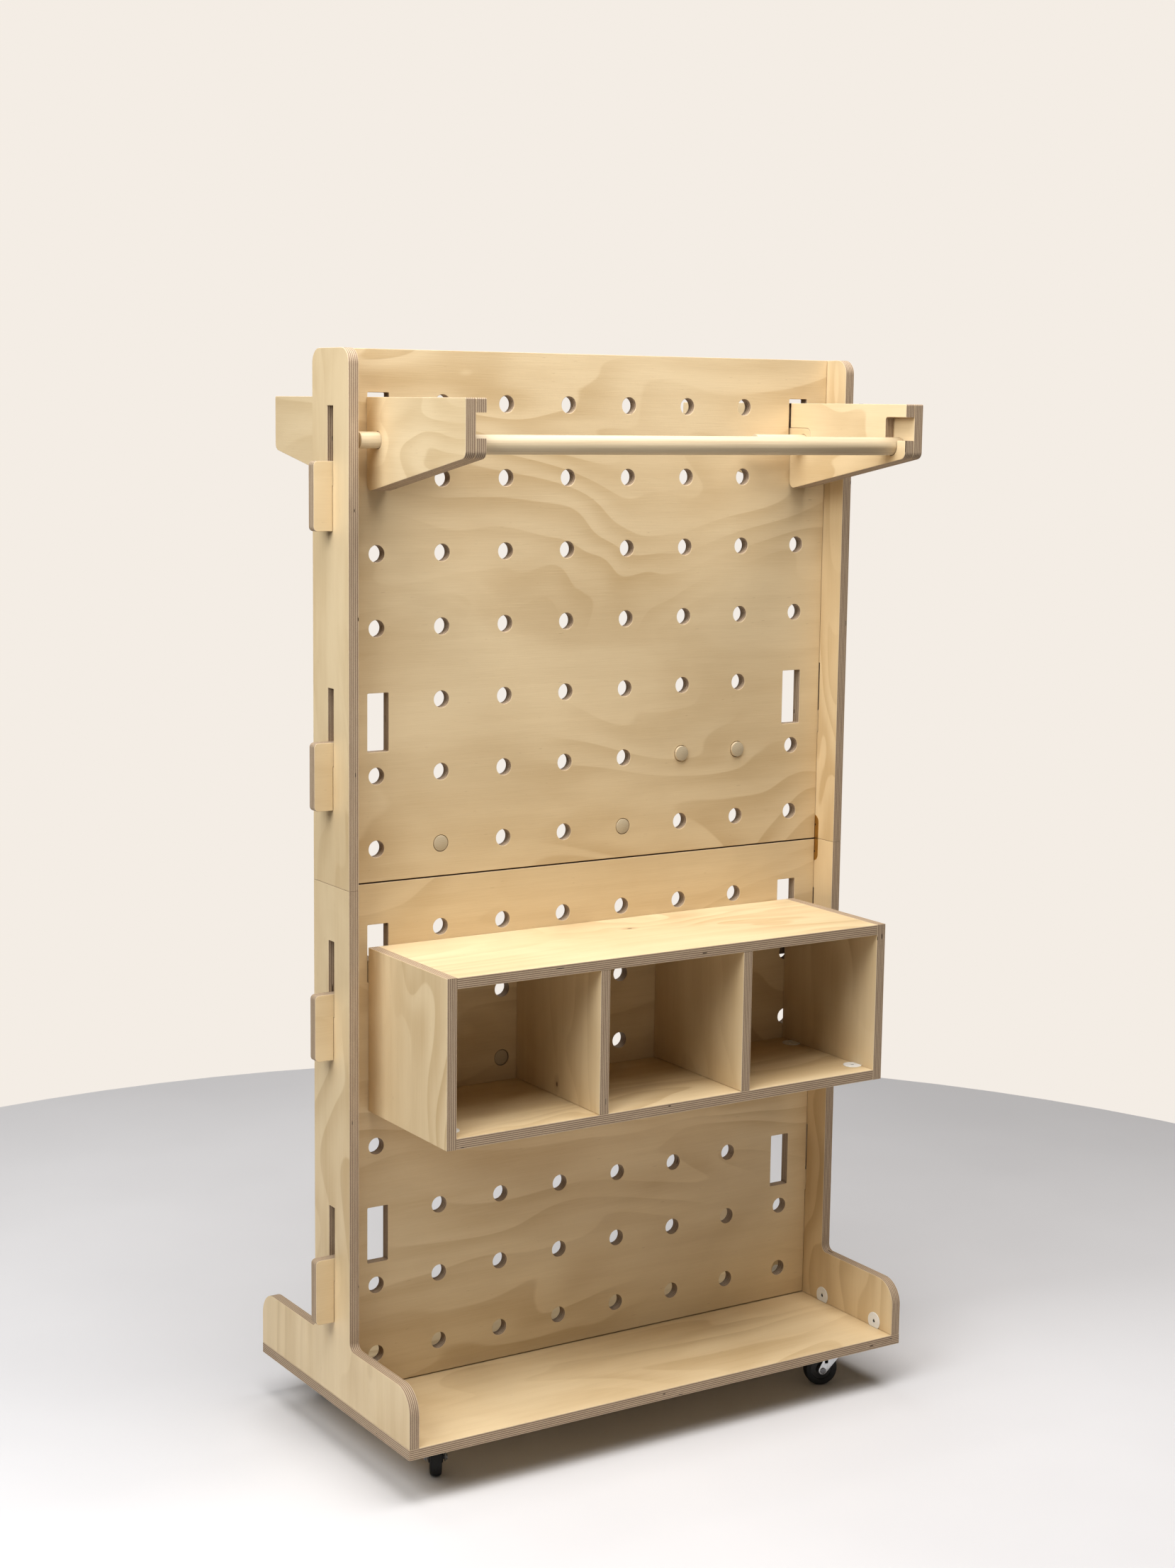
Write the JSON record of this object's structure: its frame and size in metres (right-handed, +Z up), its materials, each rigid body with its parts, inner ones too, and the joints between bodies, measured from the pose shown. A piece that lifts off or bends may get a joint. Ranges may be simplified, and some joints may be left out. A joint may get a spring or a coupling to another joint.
{
  "type": "pegboard display stand",
  "caption": "Plywood pegboard display stand on swivel casters, with hooked-in perforated boards, hanging rails on brackets and a hook-on box with open compartments.",
  "frame": {"origin": "on the floor, below the middle of the pegboards", "axes": "+X along the boards to the viewer's right, +Y to the back of the stand, +Z up"},
  "size_m": [0.886, 0.542, 1.517],
  "materials": {
    "birch_plywood": "clear satin, striped cut edges",
    "birch_dowel": "bare sanded",
    "brass": "satin",
    "white_nylon": "matte",
    "zinc_steel": "bright zinc",
    "black_rubber": "matte"
  },
  "bodies": {
    "stand_frame": {"base_board": "birch_plywood", "base_cam_left_1": "white_nylon", "base_cam_left_2": "white_nylon", "base_cam_left_3": "white_nylon", "base_cam_left_4": "white_nylon", "base_cam_right_1": "white_nylon", "base_cam_right_2": "white_nylon", "base_cam_right_3": "white_nylon", "base_cam_right_4": "white_nylon", "caster_plate_front_left": "zinc_steel", "caster_plate_front_right": "zinc_steel", "caster_plate_rear_left": "zinc_steel", "caster_plate_rear_right": "zinc_steel", "hinge_leaf_lower_left": "brass", "hinge_leaf_lower_right": "brass", "hinge_leaf_upper_left": "brass", "hinge_leaf_upper_right": "brass", "pegboard_lower": "birch_plywood", "side_panel_lower_left": "birch_plywood", "side_panel_lower_right": "birch_plywood", "side_panel_upper_left": "birch_plywood", "side_panel_upper_right": "birch_plywood"},
    "box": {"box_cam_left_front": "white_nylon", "box_cam_left_rear": "white_nylon", "box_cam_right_front": "white_nylon", "box_cam_right_rear": "white_nylon", "box_divider_left": "birch_plywood", "box_divider_right": "birch_plywood", "box_floor": "birch_plywood", "box_side_left": "birch_plywood", "box_side_right": "birch_plywood", "box_top": "birch_plywood"},
    "upper_board": {"bracket_front_left_inner": "birch_plywood", "bracket_front_left_outer": "birch_plywood", "bracket_front_right_inner": "birch_plywood", "bracket_front_right_outer": "birch_plywood", "bracket_rear_left_inner": "birch_plywood", "bracket_rear_left_outer": "birch_plywood", "bracket_rear_right_inner": "birch_plywood", "bracket_rear_right_outer": "birch_plywood", "pegboard_upper": "birch_plywood"},
    "bracket_pin_left": {"bracket_pin_left": "birch_dowel"},
    "bracket_pin_right": {"bracket_pin_right": "birch_dowel"},
    "caster_swivel_front_left": {"caster_fork_front_left": "zinc_steel"},
    "caster_swivel_front_right": {"caster_fork_front_right": "zinc_steel"},
    "caster_swivel_rear_left": {"caster_fork_rear_left": "zinc_steel"},
    "caster_swivel_rear_right": {"caster_fork_rear_right": "zinc_steel"},
    "caster_wheel_front_left": {"caster_wheel_front_left": "black_rubber"},
    "caster_wheel_front_right": {"caster_wheel_front_right": "black_rubber"},
    "caster_wheel_rear_left": {"caster_wheel_rear_left": "black_rubber"},
    "caster_wheel_rear_right": {"caster_wheel_rear_right": "black_rubber"},
    "peg_1": {"peg_1": "birch_dowel"},
    "peg_2": {"peg_2": "birch_dowel"},
    "peg_3": {"peg_3": "birch_dowel"},
    "peg_4": {"peg_4": "birch_dowel"},
    "peg_5": {"peg_5": "birch_dowel"},
    "rail_front": {"rail_front": "birch_dowel"},
    "rail_rear": {"rail_rear": "birch_dowel"}
  },
  "joints": [
    {"name": "upper_board_lift", "type": "slide", "parent": "stand_frame", "child": "upper_board", "axis": [0, 0, 1], "range_m": [0, 0.07]},
    {"name": "box_lift", "type": "slide", "parent": "stand_frame", "child": "box", "axis": [0, 0, 1], "range_m": [0, 0.045]},
    {"name": "rail_front_lift", "type": "slide", "parent": "upper_board", "child": "rail_front", "axis": [0, 0, 1], "range_m": [0, 0.026]},
    {"name": "rail_rear_lift", "type": "slide", "parent": "upper_board", "child": "rail_rear", "axis": [0, 0, 1], "range_m": [0, 0.026]},
    {"name": "bracket_pin_left_draw", "type": "slide", "parent": "upper_board", "child": "bracket_pin_left", "axis": [1, 0, 0], "range_m": [-0.005, 0.062]},
    {"name": "bracket_pin_right_draw", "type": "slide", "parent": "upper_board", "child": "bracket_pin_right", "axis": [-1, 0, 0], "range_m": [-0.005, 0.062]},
    {"name": "peg_1_push", "type": "slide", "parent": "upper_board", "child": "peg_1", "axis": [0, 1, 0], "range_m": [-0.12, 0.018]},
    {"name": "peg_2_push", "type": "slide", "parent": "upper_board", "child": "peg_2", "axis": [0, 1, 0], "range_m": [-0.12, 0.018]},
    {"name": "peg_3_push", "type": "slide", "parent": "upper_board", "child": "peg_3", "axis": [0, 1, 0], "range_m": [-0.12, 0.018]},
    {"name": "peg_4_push", "type": "slide", "parent": "upper_board", "child": "peg_4", "axis": [0, 1, 0], "range_m": [-0.12, 0.018]},
    {"name": "peg_5_push", "type": "slide", "parent": "stand_frame", "child": "peg_5", "axis": [0, 1, 0], "range_m": [-0.12, 0.018]},
    {"name": "caster_swivel_front_left", "type": "hinge", "parent": "stand_frame", "child": "caster_swivel_front_left", "pos_m": [-0.34, -0.163, 0.054], "axis": [0, 0, 1], "continuous": true},
    {"name": "caster_wheel_front_left_roll", "type": "hinge", "parent": "caster_swivel_front_left", "child": "caster_wheel_front_left", "pos_m": [-0.33092, -0.14518, 0.025], "axis": [-0.891, 0.454, 0], "continuous": true},
    {"name": "caster_swivel_front_right", "type": "hinge", "parent": "stand_frame", "child": "caster_swivel_front_right", "pos_m": [0.34, -0.163, 0.054], "axis": [0, 0, 1], "continuous": true},
    {"name": "caster_wheel_front_right_roll", "type": "hinge", "parent": "caster_swivel_front_right", "child": "caster_wheel_front_right", "pos_m": [0.32109, -0.15649, 0.025], "axis": [-0.3256, -0.9455, 0], "continuous": true},
    {"name": "caster_swivel_rear_left", "type": "hinge", "parent": "stand_frame", "child": "caster_swivel_rear_left", "pos_m": [-0.34, 0.163, 0.054], "axis": [0, 0, 1], "continuous": true},
    {"name": "caster_wheel_rear_left_roll", "type": "hinge", "parent": "caster_swivel_rear_left", "child": "caster_wheel_rear_left", "pos_m": [-0.33482, 0.18232, 0.025], "axis": [-0.9659, 0.2588, 0], "continuous": true},
    {"name": "caster_swivel_rear_right", "type": "hinge", "parent": "stand_frame", "child": "caster_swivel_rear_right", "pos_m": [0.34, 0.163, 0.054], "axis": [0, 0, 1], "continuous": true},
    {"name": "caster_wheel_rear_right_roll", "type": "hinge", "parent": "caster_swivel_rear_right", "child": "caster_wheel_rear_right", "pos_m": [0.32714, 0.17832, 0.025], "axis": [-0.766, -0.6428, 0], "continuous": true}
  ]
}
